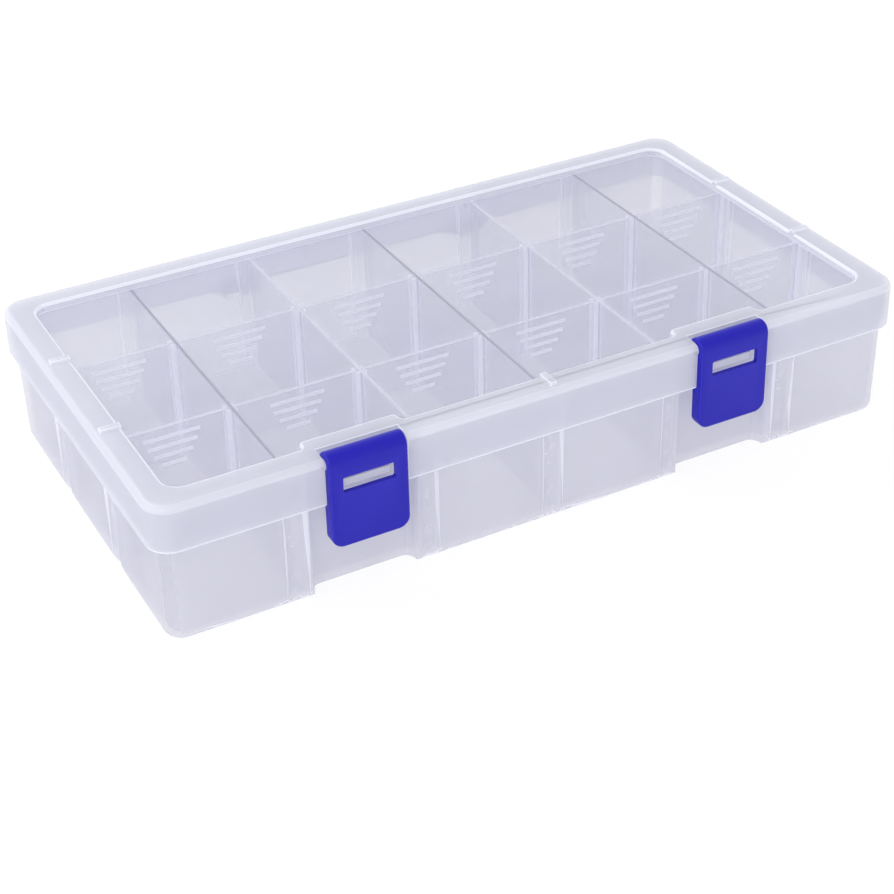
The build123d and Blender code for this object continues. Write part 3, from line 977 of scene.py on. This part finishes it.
    def make_shape(self, solid: BVHTree) -> bmesh.types.BMesh:
        """Build the divider: the plate with its ladder of rounded grip bars.

        Args:
            solid: Unused here, as the divider is made from its sizes.

        Returns:
            The mesh in edit form.
        """
        low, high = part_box(self.node)
        face = high.y - self.plate * MM
        first = high.z - (self.grip_below_top + self.grip_height / 2) * MM
        maker = link_object(self.node + "_maker", self.plate_mesh())
        ladder = maker.modifiers.new("grip_ladder", "NODES")
        ladder.node_group = self.ladder_tree()
        values = {
            "Count": self.grip_count, "Pitch": self.grip_pitch * MM,
            "First length": self.grip_first_length * MM, "Step": self.grip_step * MM,
            "Taper": self.grip_taper * MM, "Height": self.grip_height * MM,
            "Depth": 2 * self.grip_proud * MM, "Round": self.grip_round * MM,
            "Top middle": Vector(((low.x + high.x) / 2, face, first)),
            "Finish": self.finish.material()}
        for item in ladder.node_group.interface.items_tree:
            if item.in_out == "INPUT" and item.name in values:
                ladder[item.identifier] = values[item.name]
        evaluated = maker.evaluated_get(bpy.context.evaluated_depsgraph_get())
        made = bpy.data.meshes.new_from_object(evaluated)
        plate = maker.data
        bpy.data.objects.remove(maker)
        bpy.data.meshes.remove(plate)
        shape = bmesh.new()
        shape.from_mesh(made)
        bpy.data.meshes.remove(made)
        return shape


@dataclass
class StorageBox:
    """The whole box: tray, lid, two latches and twelve dividers."""

    columns: int = 6
    rows: tuple[str, ...] = ("front", "back")
    shell: MilkyPolypropylene = field(default_factory=lambda: MilkyPolypropylene(
        "milky_polypropylene_polished", MouldFinish.POLISHED, tint="#EEEFF5",
        deep_tint="#EAEBF3"))
    inner: MilkyPolypropylene = field(default_factory=lambda: MilkyPolypropylene(
        "milky_polypropylene_satin", MouldFinish.SATIN))
    blue: BluePolypropylene = field(default_factory=lambda: BluePolypropylene(
        "royal_blue_polypropylene_satin", MouldFinish.SATIN))

    def parts(self) -> list[MouldedPart]:
        """Return every piece of the box, in the order of building."""
        found: list[MouldedPart] = [
            Tray("tray", "tray_body", "tray_plastic", self.inner),
            Lid("lid", "lid_body", "lid_plastic", self.shell)]
        for side in ("left", "right"):
            found.append(MouldedPart(
                f"latch_{side}", f"latch_{side}_body", "latch_plastic", self.blue,
                edge_radius=0.0))
        for column in range(1, self.columns + 1):
            for row in self.rows:
                found.append(Divider(
                    f"divider_{column}_{row}", "tray_body", "divider_plastic", self.inner))
        return found

    def build(self) -> None:
        """Build and dress every piece."""
        for part in self.parts():
            part.build()


# Studio


@dataclass(frozen=True)
class SoftLamp:
    """A square lamp: where it hangs and its side in metres, and its power in watts."""

    name: str
    place: tuple[float, float, float]
    power: float
    side: float = 1.2


@dataclass
class Studio:
    """A white paper floor, soft lamps and the photograph's camera.

    The floor's half side is in metres, its gap under the box in mm, and angles in degrees.
    """

    # The floor and the surroundings.
    paper: str = "#FAFAFA"
    floor_half: float = 3.0
    floor_gap: float = 0.4
    lift: float = 0.8
    lift_strength: float = 1.04
    horizon: float = 0.95
    zenith: float = 0.68
    lamps: tuple[SoftLamp, ...] = (
        SoftLamp("key", (-1.1, -1.2, 1.2), 10.0),
        SoftLamp("side", (-1.5, 0.1, 0.7), 4.0),
        SoftLamp("top", (-0.4, 1.0, 1.5), 9.0))
    # The camera, solved from the photograph's straight edges.
    sensor: float = 36.0
    lens: float = 79.64
    nearest: float = 0.01
    lens_shift: tuple[float, float] = (0.03, -0.14)
    camera_place: tuple[float, float, float] = (-0.2327, -0.4437, 0.3159)
    yaw: float = 26.755
    pitch: float = 29.391
    roll: float = -1.975
    # How many walls the light may pass.
    transparent_bounces: int = 64
    transmission_bounces: int = 16
    diffuse_bounces: int = 8
    all_bounces: int = 24

    def paper_material(self) -> bpy.types.Material:
        """Build the floor's white paper: matt, lifted to white where it is seen directly.

        Returns:
            The floor's material.
        """
        made = empty_material("white_paper")
        tree = made.node_tree
        path = add_node(tree, "ShaderNodeLightPath").outputs
        seen = add_node(tree, "ShaderNodeMath", {"operation": "MAXIMUM"}, {
            0: path["Is Camera Ray"], 1: path["Is Glossy Ray"]})
        shown = add_node(tree, "ShaderNodeMath", {"operation": "MAXIMUM"}, {
            0: seen.outputs[0], 1: path["Is Transmission Ray"]})
        share = add_node(tree, "ShaderNodeMath", {"operation": "MULTIPLY"}, {
            0: shown.outputs[0], 1: self.lift})
        matt = add_node(tree, "ShaderNodeBsdfDiffuse", inputs={"Color": linear(self.paper)})
        white = add_node(tree, "ShaderNodeEmission", inputs={"Strength": self.lift_strength})
        both = add_node(tree, "ShaderNodeMixShader", inputs={
            "Fac": share.outputs[0], 1: matt.outputs[0], 2: white.outputs[0]})
        add_node(tree, "ShaderNodeOutputMaterial", inputs={"Surface": both.outputs[0]})
        return made

    def lay_floor(self) -> None:
        """Lay the floor just under the box."""
        half, level = self.floor_half, -self.floor_gap * MM
        mesh = bpy.data.meshes.new("floor")
        mesh.from_pydata([(-half, -half, level), (half, -half, level), (half, half, level),
                          (-half, half, level)], [], [(0, 1, 2, 3)])
        floor = link_object("floor", mesh)
        mesh.materials.append(self.paper_material())

    def light_world(self) -> None:
        """Fill the surroundings with soft light, white where they are seen directly."""
        world = bpy.data.worlds.new("white_studio")
        bpy.context.scene.world = world
        world.use_nodes = True
        tree = world.node_tree
        tree.nodes.clear()
        path = add_node(tree, "ShaderNodeLightPath").outputs
        seen = add_node(tree, "ShaderNodeMath", {"operation": "MAXIMUM"}, {
            0: path["Is Camera Ray"], 1: path["Is Transmission Ray"]})
        direction = add_node(tree, "ShaderNodeTexCoord").outputs["Generated"]
        height = add_node(tree, "ShaderNodeSeparateXYZ", inputs={"Vector": direction}).outputs["Z"]
        ambient = add_node(tree, "ShaderNodeMapRange", inputs={
            "Value": height, "To Min": self.horizon, "To Max": self.zenith})
        strength = add_node(tree, "ShaderNodeMapRange", inputs={
            "Value": seen.outputs[0], "To Min": ambient.outputs[0], "To Max": 1.0})
        glow = add_node(tree, "ShaderNodeBackground", inputs={
            "Color": linear(WHITE), "Strength": strength.outputs[0]})
        add_node(tree, "ShaderNodeOutputWorld", inputs={"Surface": glow.outputs[0]})

    @staticmethod
    def hang_lamp(lamp: SoftLamp) -> None:
        """Hang a soft lamp that points at the box.

        Args:
            lamp: The lamp.
        """
        data = bpy.data.lights.new(lamp.name, "AREA")
        data.size = lamp.side
        data.energy = lamp.power
        hung = bpy.data.objects.new(lamp.name, data)
        bpy.context.scene.collection.objects.link(hung)
        hung.location = lamp.place
        hung.rotation_euler = (-Vector(lamp.place)).to_track_quat("-Z", "Y").to_euler()

    def place_camera(self) -> None:
        """Set the camera up as the photograph was taken."""
        yaw, pitch, roll = (math.radians(turn) for turn in (self.yaw, self.pitch, self.roll))
        forward = Vector((math.sin(yaw) * math.cos(pitch), math.cos(yaw) * math.cos(pitch),
                          -math.sin(pitch)))
        level_right = Vector((math.cos(yaw), -math.sin(yaw), 0.0))
        level_down = forward.cross(level_right)
        right = math.cos(roll) * level_right - math.sin(roll) * level_down
        down = math.sin(roll) * level_right + math.cos(roll) * level_down
        aim = Matrix((right, -down, -forward)).transposed()
        data = bpy.data.cameras.new("photo_camera")
        data.lens = self.lens
        data.sensor_width = self.sensor
        data.shift_x, data.shift_y = self.lens_shift
        data.clip_start = self.nearest
        camera = bpy.data.objects.new("photo_camera", data)
        camera.matrix_world = Matrix.Translation(self.camera_place) @ aim.to_4x4()
        bpy.context.scene.collection.objects.link(camera)
        bpy.context.scene.camera = camera

    def build(self) -> None:
        """Set up floor, surroundings, lamps and camera."""
        self.lay_floor()
        self.light_world()
        for lamp in self.lamps:
            self.hang_lamp(lamp)
        self.place_camera()
        scene = bpy.context.scene
        scene.view_settings.view_transform = "Standard"
        scene.cycles.transparent_max_bounces = self.transparent_bounces
        scene.cycles.transmission_bounces = self.transmission_bounces
        scene.cycles.diffuse_bounces = self.diffuse_bounces
        scene.cycles.max_bounces = self.all_bounces


def main() -> None:
    """Build the box and its studio."""
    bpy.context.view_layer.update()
    StorageBox().build()
    Studio().build()


if __name__ == "__main__":
    main()
